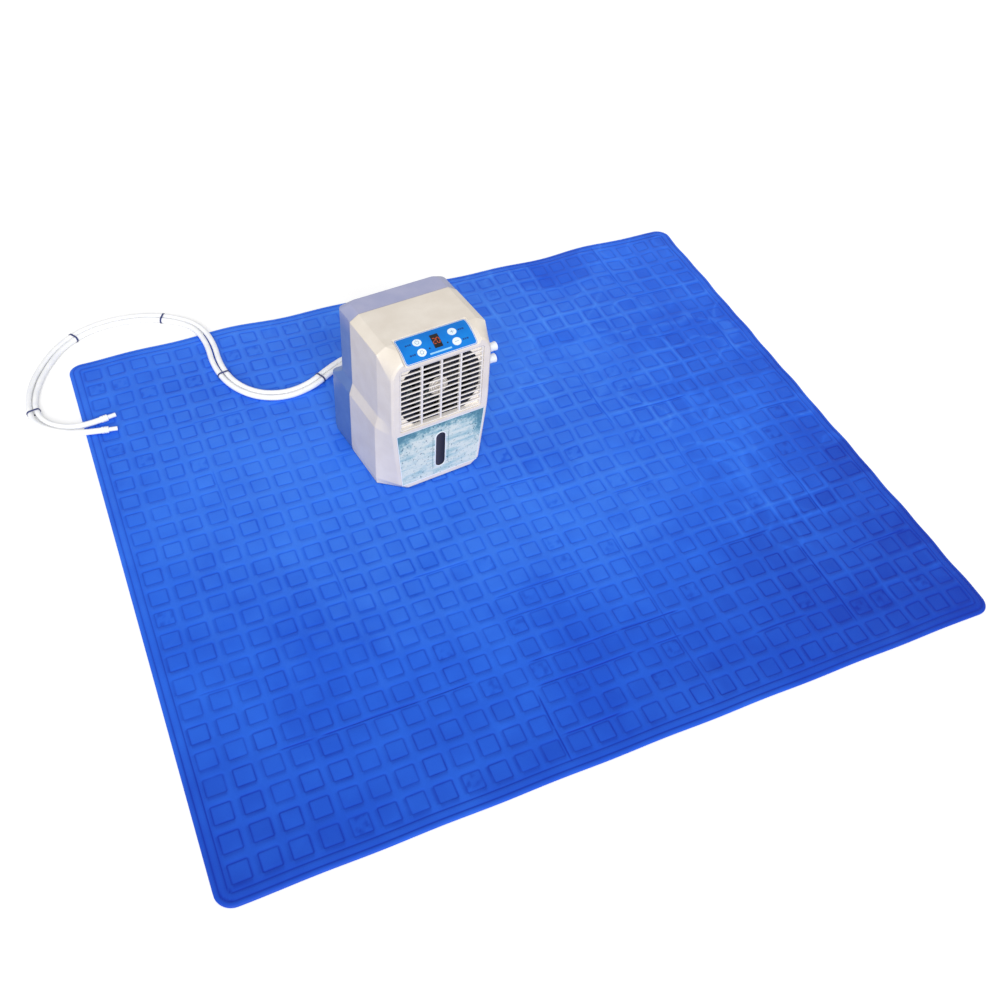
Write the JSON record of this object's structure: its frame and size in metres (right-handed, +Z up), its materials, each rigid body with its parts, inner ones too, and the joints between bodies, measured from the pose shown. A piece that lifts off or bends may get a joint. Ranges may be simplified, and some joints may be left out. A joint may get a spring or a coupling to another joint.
{
  "type": "water cooling mattress pad",
  "caption": "Flat welded water pad for a bed, with its hoses, and a small cooling unit with fan grille, water tank, display and control keys standing on it.",
  "frame": {"origin": "centre of the pad's underside, on the surface the pad lies on", "axes": "+Z up, +X to the right seen from the unit's front, the unit's front looks along -Y; the pad lies turned 7 degrees clockwise under the unit"},
  "size_m": [1.7514, 1.7003, 0.366],
  "materials": {
    "pad_vinyl": "coated fabric sheet, soft sheen",
    "hose_white": "soft white hose",
    "tie_blue": "satin",
    "connector_blue": "satin",
    "shell_cream": "fine satin",
    "shell_slate": "fine satin",
    "fan_dark": "satin",
    "core_aluminium": "brushed fins",
    "inner_plastic": "satin",
    "tank_clear": "cloudy moulding",
    "film_teal": "printed film, left without words",
    "window_dark": "smoked",
    "label_blue": "film",
    "key_white": "satin",
    "lens_dark": "smoked",
    "rubber_dark": "matt",
    "steel": "bright",
    "board_green": "solder mask",
    "filter_mesh": "woven filter",
    "tube_silicone": "milky",
    "brass": "turned"
  },
  "bodies": {
    "pad": {"mat_pad": "pad_vinyl", "port_patch": "pad_vinyl", "port_spigots": "connector_blue", "hose_a": "hose_white", "hose_b": "hose_white", "hose_ties": "tie_blue", "connector_a": "connector_blue", "connector_b": "connector_blue"},
    "fan": {"fan_rotor": "fan_dark", "fan_hub_cap": "shell_cream", "fan_shaft": "steel"},
    "impeller": {"pump_impeller": "shell_cream"},
    "key_1": {"button_1": "key_white"},
    "key_2": {"button_2": "key_white"},
    "key_3": {"button_3": "key_white"},
    "key_4": {"button_4": "key_white"},
    "float": {"float_ball": "key_white"},
    "filler": {"filler_cap": "shell_cream"},
    "drain": {"drain_plug": "rubber_dark"},
    "intake": {"rear_grille": "shell_slate", "dust_filter": "filter_mesh"},
    "unit": {"front_shell": "shell_cream", "rear_shell": "shell_slate", "base_cover": "shell_cream", "feet": "rubber_dark", "shell_screws": "steel", "front_grille": "shell_cream", "grille_plate": "shell_cream", "fan_frame": "fan_dark", "fan_bearings": "steel", "fan_stator": "brass", "fan_screws": "steel", "radiator_core": "core_aluminium", "radiator_tanks": "core_aluminium", "water_tank": "tank_clear", "tank_lid": "tank_clear", "tank_panel": "film_teal", "level_window": "window_dark", "float_stem": "shell_cream", "pump_body": "inner_plastic", "pump_cover": "inner_plastic", "pump_pin": "steel", "outlet_nozzle": "shell_slate", "return_nozzle": "shell_slate", "nozzle_nuts": "inner_plastic", "supply_tube": "tube_silicone", "return_tube": "tube_silicone", "drain_tube": "tube_silicone", "tube_clips": "inner_plastic", "control_label": "label_blue", "key_switches": "inner_plastic", "display_lens": "lens_dark", "display_module": "inner_plastic", "status_lights": "lens_dark", "control_board": "board_green", "board_screws": "steel", "filler_neck": "tank_clear", "power_inlet": "inner_plastic"}
  },
  "joints": [
    {"name": "unit_lift", "type": "slide", "parent": "pad", "child": "unit", "axis": [0, 0, 1], "range_m": [0, 0.15]},
    {"name": "fan_spin", "type": "hinge", "parent": "unit", "child": "fan", "pos_m": [-0.112, 0.097, 0.253], "axis": [0, 1, 0], "continuous": true},
    {"name": "impeller_spin", "type": "hinge", "parent": "unit", "child": "impeller", "pos_m": [-0.172, 0.264, 0.0352], "axis": [0, 1, 0], "continuous": true},
    {"name": "float_slide", "type": "slide", "parent": "unit", "child": "float", "axis": [0, 0, 1], "range_m": [0, 0.035]},
    {"name": "filler_cap_pull", "type": "slide", "parent": "unit", "child": "filler", "axis": [0, 0.6332, 0.774], "range_m": [0, 0.014]},
    {"name": "drain_plug_pull", "type": "slide", "parent": "unit", "child": "drain", "axis": [0, 1, 0], "range_m": [0, 0.02]},
    {"name": "filter_pull", "type": "slide", "parent": "unit", "child": "intake", "axis": [0, 1, 0], "range_m": [0, 0.03]},
    {"name": "button_1_press", "type": "slide", "parent": "unit", "child": "key_1", "axis": [0, 0.3824, -0.924], "range_m": [0, 0.001], "stiffness_N_per_m": 400, "springref_m": -0.0005},
    {"name": "button_2_press", "type": "slide", "parent": "unit", "child": "key_2", "axis": [0, 0.3824, -0.924], "range_m": [0, 0.001], "stiffness_N_per_m": 400, "springref_m": -0.0005},
    {"name": "button_3_press", "type": "slide", "parent": "unit", "child": "key_3", "axis": [0, 0.3824, -0.924], "range_m": [0, 0.001], "stiffness_N_per_m": 400, "springref_m": -0.0005},
    {"name": "button_4_press", "type": "slide", "parent": "unit", "child": "key_4", "axis": [0, 0.3824, -0.924], "range_m": [0, 0.001], "stiffness_N_per_m": 400, "springref_m": -0.0005}
  ]
}
